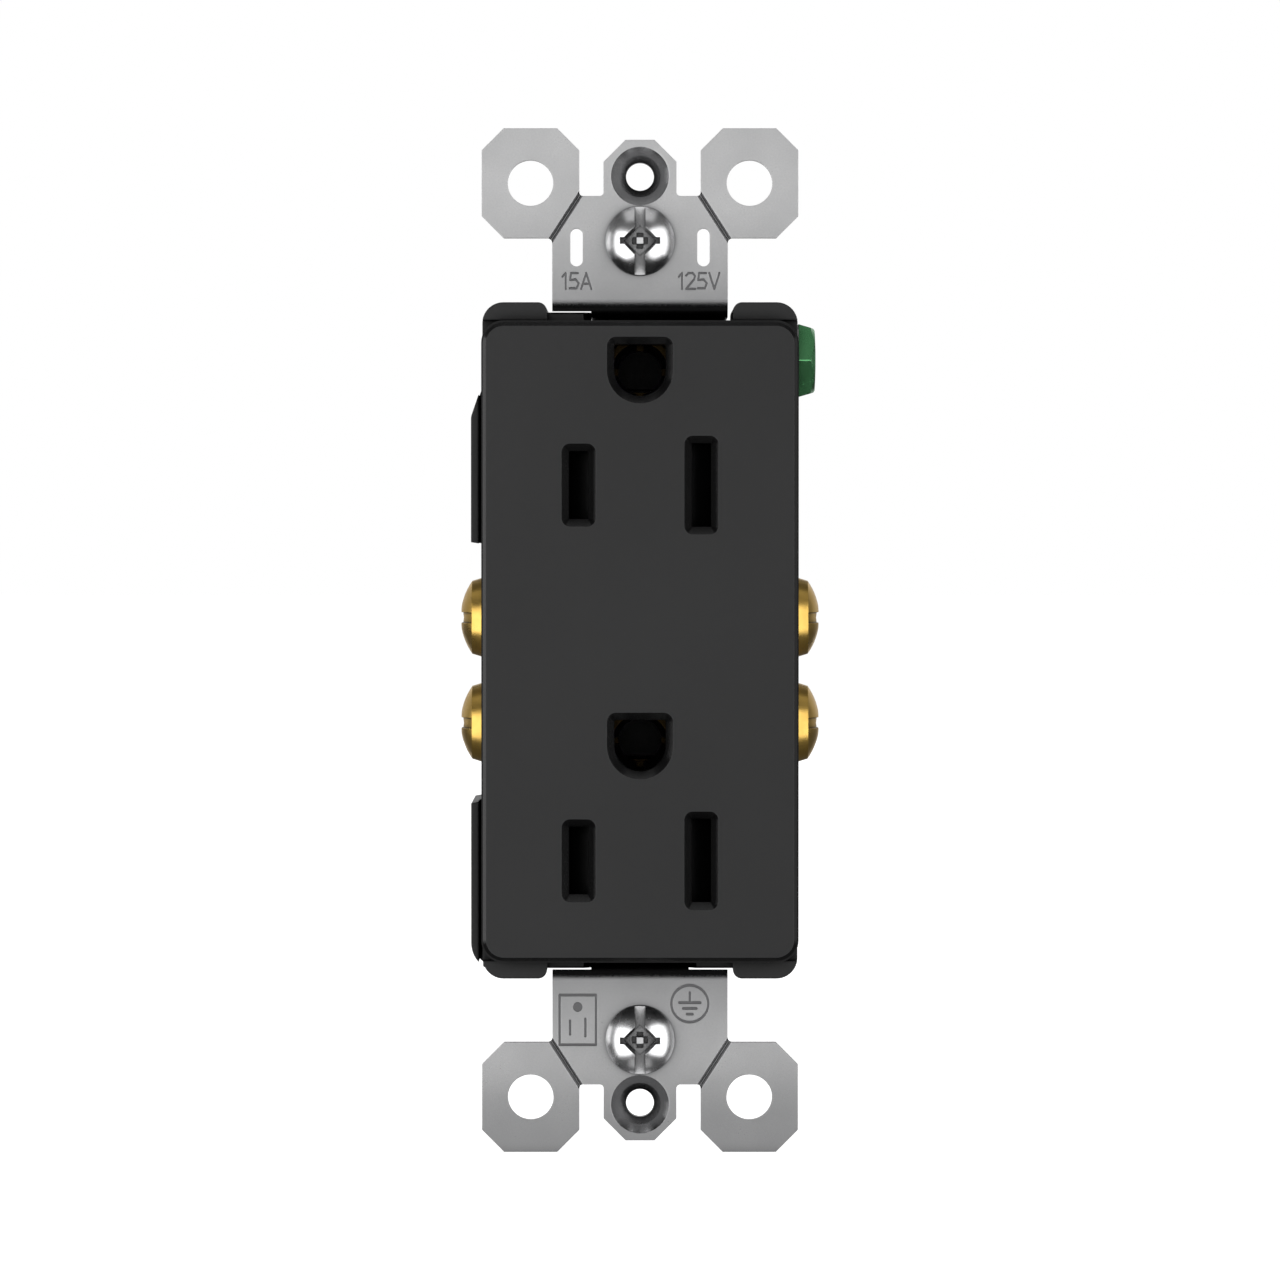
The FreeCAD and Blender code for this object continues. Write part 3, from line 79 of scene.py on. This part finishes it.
class Shader:
    """A material under construction: short calls for nodes and links."""

    def __init__(self, name):
        self.material = bpy.data.materials.new(name)
        self.material.use_nodes = True
        self.tree = self.material.node_tree
        self.tree.nodes.clear()
        output = self.add("ShaderNodeOutputMaterial")
        self.bsdf = self.add("ShaderNodeBsdfPrincipled")
        self.link(self.bsdf, "BSDF", output, "Surface")
        self.coords = self.add("ShaderNodeTexCoord")

    def add(self, kind, **values):
        node = self.tree.nodes.new(kind)
        for name, value in values.items():
            setattr(node, name, value)
        return node

    def link(self, source, out, target, into):
        self.tree.links.new(source.outputs[out], target.inputs[into])

    def noise(self, scale, detail, roughness=0.5, stretch=None):
        """Noise in object space; stretch below 1 draws it out along that axis."""
        node = self.add("ShaderNodeTexNoise")
        node.inputs["Scale"].default_value = scale
        node.inputs["Detail"].default_value = detail
        node.inputs["Roughness"].default_value = roughness
        self.place(node, stretch)
        return node

    def voronoi(self, scale):
        node = self.add("ShaderNodeTexVoronoi")
        node.inputs["Scale"].default_value = scale
        self.place(node, None)
        return node

    def place(self, node, stretch):
        if stretch is None:
            self.link(self.coords, "Object", node, "Vector")
            return
        mapping = self.add("ShaderNodeMapping")
        mapping.inputs["Scale"].default_value = stretch
        self.link(self.coords, "Object", mapping, "Vector")
        self.link(mapping, "Vector", node, "Vector")

    def remap(self, source, out, low, high, to_low, to_high):
        node = self.add("ShaderNodeMapRange")
        node.inputs["From Min"].default_value = low
        node.inputs["From Max"].default_value = high
        node.inputs["To Min"].default_value = to_low
        node.inputs["To Max"].default_value = to_high
        self.link(source, out, node, "Value")
        return node

    def math(self, operation, a, b):
        """Arithmetic on two values, each a number or a node."""
        node = self.add("ShaderNodeMath", operation=operation)
        for index, value in enumerate((a, b)):
            if isinstance(value, (int, float)):
                node.inputs[index].default_value = value
            else:
                self.tree.links.new(value.outputs[0], node.inputs[index])
        return node

    def mix(self, factor, color_a, color_b):
        """Colour mix; factor is a node, each colour a tuple or another mix."""
        node = self.add("ShaderNodeMix", data_type="RGBA")
        for socket, value in ((6, color_a), (7, color_b)):
            if isinstance(value, tuple):
                node.inputs[socket].default_value = (*value, 1.0)
            else:
                self.tree.links.new(value.outputs[2], node.inputs[socket])
        self.tree.links.new(factor.outputs[0], node.inputs[0])
        return node

    def color(self, mix_node):
        self.tree.links.new(mix_node.outputs[2], self.bsdf.inputs["Base Color"])

    def roughness(self, node):
        self.tree.links.new(node.outputs[0], self.bsdf.inputs["Roughness"])

    def edges(self, radius):
        """1 along convex or concave edges, 0 on open faces."""
        bevel = self.add("ShaderNodeBevel", samples=4)
        bevel.inputs["Radius"].default_value = radius
        geometry = self.add("ShaderNodeNewGeometry")
        dot = self.add("ShaderNodeVectorMath", operation="DOT_PRODUCT")
        self.link(bevel, "Normal", dot, 0)
        self.link(geometry, "Normal", dot, 1)
        node = self.add("ShaderNodeMapRange")
        node.inputs["From Min"].default_value = 0.999
        node.inputs["From Max"].default_value = 0.9
        self.link(dot, "Value", node, "Value")
        return node

    def crevice(self, reach, share, closed=0.25, open_at=0.9):
        """0 in the open, up to share where surfaces stand close together."""
        ao = self.add("ShaderNodeAmbientOcclusion", samples=6)
        ao.inputs["Distance"].default_value = reach
        return self.remap(ao, "AO", closed, open_at, share, 0.0)

    def off_front(self):
        """0 on surfaces that face the front squarely, 1 on bevels and sides."""
        geometry = self.add("ShaderNodeNewGeometry")
        split = self.add("ShaderNodeSeparateXYZ")
        self.link(geometry, "Normal", split, "Vector")
        return self.remap(split, "Y", -0.97, -0.9, 0.0, 1.0)

    def bumps(self, layers, round_edges):
        """Stack bumps (node, output, distance in metres) over rounded edges."""
        bevel = self.add("ShaderNodeBevel", samples=4)
        bevel.inputs["Radius"].default_value = round_edges
        normal = bevel
        for source, out, distance in layers:
            bump = self.add("ShaderNodeBump")
            bump.inputs["Strength"].default_value = 1.0
            bump.inputs["Distance"].default_value = distance
            self.link(source, out, bump, "Height")
            self.link(normal, "Normal", bump, "Normal")
            normal = bump
        self.link(normal, "Normal", self.bsdf, "Normal")

    def set(self, name, value):
        self.bsdf.inputs[name].default_value = value


def moulded_plastic(name, dark, light, rough, grain, grain_depth, painted_edge_highlight, rounding, bevel_gloss_and_shade=0.0):
    """Black moulded thermoplastic: spark-eroded grain, slight flow shade, lower roughness on
    bevels, painted highlight along edges, painted shade on bevels, sides, crevices and deep holes.
    """
    s = Shader(name)
    broad = s.noise(55.0, 3.0)
    fine = s.noise(grain, 4.0, 0.6)
    speck = s.noise(grain * 0.35, 2.0)
    shade = s.mix(s.remap(broad, "Fac", 0.35, 0.65, 0.0, 1.0), dark, light)
    # painted highlight: a lighter colour along convex and concave edges
    shade = s.mix(s.math("MULTIPLY", s.edges(rounding), 0.5), shade, painted_edge_highlight)
    # painted shade: bevels and sides take a darker colour by this factor; the same factor lowers
    # their roughness
    slope = s.math("MULTIPLY", s.off_front(), bevel_gloss_and_shade)
    shade = s.mix(slope, shade, tuple(c * 0.3 for c in dark))
    # painted shade: near black where surfaces stand close together
    shade = s.mix(s.crevice(NEAR_GAP, 0.9), shade, CREVICE_SHADE_PAINT)
    # painted shade: near black deep in holes and pockets
    deep = s.crevice(DEEP_REACH, 1.0, 0.04, 0.3)
    s.color(s.mix(deep, shade, DEEP_HOLE_SHADE_PAINT))
    rough_fine = s.remap(fine, "Fac", 0.3, 0.7, rough - 0.05, rough + 0.06)
    rough_broad = s.remap(broad, "Fac", 0.3, 0.7, -0.03, 0.03)
    grained = s.math("ADD", rough_fine, rough_broad)
    s.roughness(s.math("SUBTRACT", grained, s.math("MULTIPLY", slope, rough * 0.55)))
    # specular level dimmed where the painted shade of crevices and holes falls
    hidden = s.math("MAXIMUM", s.crevice(NEAR_GAP, 0.95), deep)
    gloss = s.math("SUBTRACT", 0.5, s.math("MULTIPLY", hidden, 0.5))
    s.tree.links.new(gloss.outputs[0], s.bsdf.inputs["Specular IOR Level"])
    s.bumps([(fine, "Fac", grain_depth), (speck, "Fac", grain_depth * 0.7)], rounding)
    return s.material


MARK_TOP = 0.06 * MM
MARK_FLOOR = 0.2 * MM
FACES_FRONT = -0.995


def galvanised(name):
    """Zinc-coated sheet: fine grain, faint spangle, dark floors in stamped marks, painted highlight
    along edges, painted shade on bevels, sides, recesses and deep holes.

    A stamped floor faces the front and lies between MARK_TOP and MARK_FLOOR behind y = 0.
    """
    s = Shader(name)
    grain = s.noise(5200.0, 3.0, 0.65)
    cloud = s.noise(160.0, 4.0, 0.55)
    spangle = s.voronoi(420.0)
    grained = s.remap(grain, "Fac", 0.3, 0.7, 0.0, 1.0)
    base = s.mix(grained, (0.52, 0.52, 0.525), (0.60, 0.60, 0.60))
    base = s.mix(s.remap(cloud, "Fac", 0.35, 0.65, 0.0, 0.35), base, (0.50, 0.505, 0.51))
    base = s.mix(s.remap(spangle, "Distance", 0.0, 0.7, 0.0, 0.12), base, (0.64, 0.64, 0.65))
    split = s.add("ShaderNodeSeparateXYZ")
    s.link(s.coords, "Object", split, "Vector")
    depth = s.remap(split, "Y", 0.0, 1.0, 0.0, 1.0)
    below = s.math("GREATER_THAN", depth, MARK_TOP)
    above = s.math("LESS_THAN", depth, MARK_FLOOR)
    geometry = s.add("ShaderNodeNewGeometry")
    facing = s.add("ShaderNodeSeparateXYZ")
    s.link(geometry, "Normal", facing, "Vector")
    front = s.math("LESS_THAN", s.remap(facing, "Y", -1.0, 1.0, -1.0, 1.0), FACES_FRONT)
    sunk = s.math("MULTIPLY", s.math("MULTIPLY", below, above), front)
    base = s.mix(s.math("MULTIPLY", sunk, 0.85), base, (0.07, 0.07, 0.072))
    # painted highlight: a lighter colour along edges
    edge_highlight_mask = s.math("MULTIPLY", s.edges(0.14 * MM), 0.3)
    base = s.mix(edge_highlight_mask, base, (0.78, 0.78, 0.79))
    # painted shade: bevels and sides take a darker colour
    base = s.mix(s.math("MULTIPLY", s.off_front(), 0.2), base, (0.16, 0.16, 0.165))
    # painted shade: broad darkening where the body and cover stand near the sheet
    base = s.mix(s.crevice(DEEP_REACH, 0.62, 0.76, 0.99), base, (0.2, 0.2, 0.205))
    # painted shade: near black deep in holes
    base = s.mix(s.crevice(DEEP_REACH, 0.98, 0.02, 0.15), base, (0.004, 0.004, 0.004))
    # painted shade: darker where surfaces stand close together
    base = s.mix(s.crevice(1.6 * MM, 0.7, 0.1, 0.8), base, (0.05, 0.05, 0.05))
    s.color(base)
    s.set("Metallic", 1.0)
    rough_grain = s.remap(grain, "Fac", 0.3, 0.7, 0.28, 0.36)
    rough_cloud = s.remap(cloud, "Fac", 0.3, 0.7, -0.03, 0.04)
    rough = s.math("ADD", rough_grain, rough_cloud)
    s.roughness(s.math("SUBTRACT", rough, s.math("MULTIPLY", s.off_front(), 0.12)))
    s.bumps([(cloud, "Fac", 0.008 * MM), (grain, "Fac", 0.005 * MM)], SCRATCH_ROUNDING)
    return s.material


def bright_metal(name, dark, light, rough, scratch_depth, stain=None, reach=1.6 * MM):
    """Plated or rolled metal: fine streaks, slight tarnish in patches, painted shade in recesses
    and deep holes.
    """
    s = Shader(name)
    fine = s.noise(9000.0, 3.0)
    streak = s.noise(1500.0, 4.0, 0.6, (1.0, 0.18, 1.0))
    patch = s.noise(420.0, 4.0, 0.6)
    base = s.mix(s.remap(patch, "Fac", 0.35, 0.7, 0.0, 1.0), light, dark)
    if stain is not None:
        base = s.mix(s.remap(streak, "Fac", 0.55, 0.8, 0.0, 0.5), base, stain)
    # painted shade: dark in recesses, then near black deep in holes
    base = s.mix(s.crevice(reach, 0.96, 0.55, 0.97), base, tuple(c * 0.06 for c in dark))
    base = s.mix(s.crevice(DEEP_REACH, 0.98, 0.08, 0.3), base, tuple(c * 0.01 for c in dark))
    s.color(base)
    s.set("Metallic", 1.0)
    rough_patch = s.remap(patch, "Fac", 0.3, 0.7, rough * 0.85, rough * 1.15)
    rough_streak = s.remap(streak, "Fac", 0.3, 0.7, -0.01, 0.02)
    s.roughness(s.math("ADD", rough_patch, rough_streak))
    s.bumps([(streak, "Fac", scratch_depth), (fine, "Fac", scratch_depth * 0.4)], SCRATCH_ROUNDING)
    return s.material


def fibre(name):
    """Pressed fibre board: short matted strands, a little fuzz in the roughness."""
    s = Shader(name)
    strands = s.noise(2600.0, 5.0, 0.7, (1.0, 1.0, 0.25))
    cross = s.noise(2600.0, 5.0, 0.7, (0.25, 1.0, 1.0))
    both = s.math("MAXIMUM", strands, cross)
    matted = s.remap(both, "Value", 0.45, 0.75, 0.0, 1.0)
    s.color(s.mix(matted, (0.16, 0.035, 0.018), (0.34, 0.11, 0.06)))
    s.roughness(s.remap(both, "Value", 0.4, 0.8, 0.75, 0.92))
    s.bumps([(both, "Value", 0.03 * MM)], 0.1 * MM)
    return s.material


materials = {
    "black_face": moulded_plastic(
        "face_plastic",
        dark=(0.0112, 0.0112, 0.0117),
        light=(0.0148, 0.0148, 0.0153),
        rough=0.42,
        grain=7000.0,
        grain_depth=0.003 * MM,
        painted_edge_highlight=(0.03, 0.03, 0.031),
        rounding=0.07 * MM,
        bevel_gloss_and_shade=0.85,
    ),
    "black_body": moulded_plastic(
        "body_plastic",
        dark=(0.0088, 0.0088, 0.0092),
        light=(0.0125, 0.0125, 0.013),
        rough=0.40,
        grain=4500.0,
        grain_depth=0.004 * MM,
        painted_edge_highlight=(0.012, 0.012, 0.0125),
        rounding=0.22 * MM,
        bevel_gloss_and_shade=0.2,
    ),
    "shutter_plastic": moulded_plastic(
        "shutter_plastic",
        dark=(0.0035, 0.0035, 0.0038),
        light=(0.006, 0.006, 0.0064),
        rough=0.45,
        grain=6000.0,
        grain_depth=0.003 * MM,
        painted_edge_highlight=(0.01, 0.01, 0.01),
        rounding=0.12 * MM,
    ),
    "guide_plastic": moulded_plastic(
        "guide_plastic",
        dark=(0.05, 0.05, 0.052),
        light=(0.07, 0.07, 0.073),
        rough=0.5,
        grain=4500.0,
        grain_depth=0.005 * MM,
        painted_edge_highlight=(0.1, 0.1, 0.1),
        rounding=0.12 * MM,
    ),
    "galvanised_steel": galvanised("galvanised_sheet"),
    "brass_strip": bright_metal(
        "rolled_brass",
        dark=(0.52, 0.34, 0.12),
        light=(0.75, 0.53, 0.22),
        rough=0.3,
        scratch_depth=0.0015 * MM,
        stain=(0.35, 0.2, 0.08),
        # wide reach: the painted shade covers the contacts deep inside the pin holes
        reach=8.0 * MM,
    ),
    "rivet_brass": bright_metal(
        "pressed_brass",
        dark=(0.5, 0.33, 0.13),
        light=(0.72, 0.52, 0.24),
        rough=0.34,
        scratch_depth=0.002 * MM,
        stain=(0.3, 0.18, 0.08),
    ),
    "brass_screw": bright_metal(
        "plated_brass",
        dark=(0.66, 0.42, 0.10),
        light=(0.74, 0.485, 0.125),
        rough=0.30,
        scratch_depth=0.0005 * MM,
    ),
    "green_screw": bright_metal(
        "green_plating",
        dark=(0.11, 0.36, 0.15),
        light=(0.135, 0.41, 0.175),
        rough=0.24,
        scratch_depth=0.0005 * MM,
    ),
    "bright_screw": bright_metal(
        "bright_zinc",
        dark=(0.72, 0.72, 0.73),
        light=(0.80, 0.80, 0.81),
        rough=0.24,
        scratch_depth=0.0004 * MM,
    ),
    "spring_steel": bright_metal(
        "spring_steel",
        dark=(0.42, 0.42, 0.43),
        light=(0.62, 0.62, 0.63),
        rough=0.25,
        scratch_depth=0.001 * MM,
        stain=(0.3, 0.28, 0.25),
    ),
    "fibre": fibre("pressed_fibre"),
}


# ---------------------------------------------------------------- CAD nodes

slot_of = {part["node"]: part["material_slot"] for part in frame["record"]["subparts"]}


def dress(node, material):
    """Give a CAD node its material and smooth shading that keeps sharp edges."""
    mesh = nodes[node].data
    mesh.materials.clear()
    mesh.materials.append(material)
    for polygon in mesh.polygons:
        polygon.use_smooth = True


for node, slot in slot_of.items():
    dress(node, materials[slot])


# ---------------------------------------------------------------- coil springs

END_TURNS = 0.75
END_PITCH = 1.9
END_LENGTH = 1.43
WIRE_SIDES = 12
STEPS_PER_TURN = 40


def coil_mesh(name, start, end, radius, wire, turns):
    """Closed coil along X whose ends lie almost flat; wire is the wire's radius.

    Each end takes END_TURNS, with a pitch of END_PITCH and a length of END_LENGTH wire radii.
    """
    steps = turns * STEPS_PER_TURN
    lead = wire * (1 + END_LENGTH)
    along_x = Vector((1, 0, 0))
    vertices = []
    for i in range(steps + 1):
        share = i / steps
        done = share * turns
        eased = min(max((done - END_TURNS) / (turns - 2 * END_TURNS), 0.0), 1.0)
        in_ends = min(done, END_TURNS) - END_TURNS + max(done - turns + END_TURNS, 0.0)
        along = start + lead + (end - start - 2 * lead) * eased + wire * END_PITCH * in_ends
        angle = 2 * math.pi * turns * share
        radial = Vector((0.0, math.cos(angle), math.sin(angle)))
        centre = Vector((along, 0.0, 0.0)) + radial * radius
        for k in range(WIRE_SIDES):
            turn = 2 * math.pi * k / WIRE_SIDES
            outward = radial * math.cos(turn) + along_x * math.sin(turn)
            vertices.append(centre + outward * wire)
    faces = []
    for i in range(steps):
        for k in range(WIRE_SIDES):
            a = i * WIRE_SIDES + k
            b = i * WIRE_SIDES + (k + 1) % WIRE_SIDES
            faces.append((a, b, b + WIRE_SIDES, a + WIRE_SIDES))
    faces.append(tuple(range(WIRE_SIDES - 1, -1, -1)))
    faces.append(tuple(range(steps * WIRE_SIDES, (steps + 1) * WIRE_SIDES)))
    mesh = bpy.data.meshes.new(name)
    mesh.from_pydata(vertices, [], faces)
    for polygon in mesh.polygons:
        polygon.use_smooth = True
    return mesh


SPRING_WIRE = 0.16 * MM
SPRING_TURNS = 6
for place in ("upper", "lower"):
    node = "shutter_spring_" + place
    low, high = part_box(node)
    middle = (low + high) / 2
    half = (high.x - low.x) / 2
    radius = (high.z - low.z) / 2 - SPRING_WIRE
    mesh = coil_mesh("coil_" + place, -half, half, radius, SPRING_WIRE, SPRING_TURNS)
    spring = bpy.data.objects.new("coil_spring_" + place, mesh)
    bpy.context.scene.collection.objects.link(spring)
    spring.location = middle
    spring.data.materials.append(materials["spring_steel"])
    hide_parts(node)
    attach(spring, "case")
    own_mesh(spring)


# ---------------------------------------------------------------- stage, lights, camera

FLOOR_GLOW = 0.96
FLOOR_HALF = 4
FLOOR_DROP = 0.1 * MM
WORLD_DIM = 0.09


def pale_floor():
    """Pale matt floor that only the camera sees, so that it throws no light up at the part."""
    s = Shader("pale_floor")
    cloud = s.remap(s.noise(3.0, 2.0), "Fac", 0.3, 0.7, 0.0, 1.0)
    s.color(s.mix(cloud, (0.90, 0.90, 0.90), (0.88, 0.88, 0.88)))
    s.set("Roughness", 0.6)
    s.set("Emission Color", (1, 1, 1, 1))
    s.set("Emission Strength", FLOOR_GLOW)
    floor_z = cad_box[0][2] - FLOOR_DROP
    corners = [
        (x * FLOOR_HALF, y * FLOOR_HALF, floor_z)
        for x, y in ((-1, -1), (1, -1), (1, 1), (-1, 1))
    ]
    mesh = bpy.data.meshes.new("floor")
    mesh.from_pydata(corners, [], [(0, 1, 2, 3)])
    floor = bpy.data.objects.new("floor", mesh)
    bpy.context.scene.collection.objects.link(floor)
    floor.data.materials.append(s.material)
    floor.visible_glossy = False
    floor.visible_diffuse = False


def studio_world():
    """White to the camera, dim to everything else."""
    world = bpy.data.worlds.new("studio")
    world.use_nodes = True
    tree = world.node_tree
    tree.nodes.clear()
    output = tree.nodes.new("ShaderNodeOutputWorld")
    mix = tree.nodes.new("ShaderNodeMixShader")
    path = tree.nodes.new("ShaderNodeLightPath")
    dim = tree.nodes.new("ShaderNodeBackground")
    dim.inputs["Strength"].default_value = WORLD_DIM
    white = tree.nodes.new("ShaderNodeBackground")
    white.inputs["Color"].default_value = (1, 1, 1, 1)
    dim.inputs["Color"].default_value = (1, 1, 1, 1)
    tree.links.new(path.outputs["Is Camera Ray"], mix.inputs[0])
    tree.links.new(dim.outputs[0], mix.inputs[1])
    tree.links.new(white.outputs[0], mix.inputs[2])
    tree.links.new(mix.outputs[0], output.inputs["Surface"])
    bpy.context.scene.world = world


def softbox(name, azimuth, elevation, distance, half_wide, half_tall, radiance):
    """Area light aimed at the origin; angles in degrees, azimuth 0 towards the camera."""
    az = math.radians(azimuth)
    el = math.radians(elevation)
    data = bpy.data.lights.new(name, "AREA")
    data.shape = "RECTANGLE"
    data.size = 2 * distance * math.tan(math.radians(half_wide))
    data.size_y = 2 * distance * math.tan(math.radians(half_tall))
    data.energy = radiance * math.pi * data.size * data.size_y
    light = bpy.data.objects.new(name, data)
    bpy.context.scene.collection.objects.link(light)
    level = math.cos(el)
    place = Vector((math.sin(az) * level, -math.cos(az) * level, math.sin(el))) * distance
    light.location = place
    light.rotation_euler = (-place).to_track_quat("-Z", "Y").to_euler()


# name, azimuth, elevation, distance, half width, half height (degrees), radiance
SOFTBOXES = (
    ("key_left", -45, -8, 0.9, 25, 34, 2.1),
    ("fill_right", 52, -4, 0.9, 25, 37, 1.9),
    ("front", -5, 1.5, 1.25, 20, 16, 0.94),
    ("edge_left", -98, 4, 0.9, 14, 16, 1.3),
    ("edge_right", 100, 4, 0.9, 10, 16, 0.35),
    ("top", 0, 76, 1.0, 30, 18, 0.5),
    ("low", 0, -68, 1.0, 22, 14, 0.35),
    ("back_left", -142, 20, 1.1, 16, 24, 0.4),
    ("back_right", 142, 20, 1.1, 16, 24, 0.4),
    ("back", 180, 5, 1.25, 26, 22, 0.5),
)
pale_floor()
studio_world()
for values in SOFTBOXES:
    softbox(*values)

STRAP_DISTANCE = 0.775
FIELD = 0.1335
EYE_HEIGHT = 0.016
AIM_HEIGHT = 0.08 * MM
SENSOR = 36.0
camera_data = bpy.data.cameras.new("camera")
camera_data.sensor_width = SENSOR
camera_data.lens = SENSOR * STRAP_DISTANCE / FIELD
camera_data.clip_end = 20.0
camera = bpy.data.objects.new("camera", camera_data)
bpy.context.scene.collection.objects.link(camera)
camera.location = (0.0, -STRAP_DISTANCE, EYE_HEIGHT)
camera_aim = Vector((0.0, 0.0, AIM_HEIGHT))
camera.rotation_euler = (camera_aim - camera.location).to_track_quat("-Z", "Y").to_euler()
bpy.context.scene.camera = camera
bpy.context.scene.view_settings.view_transform = "Standard"
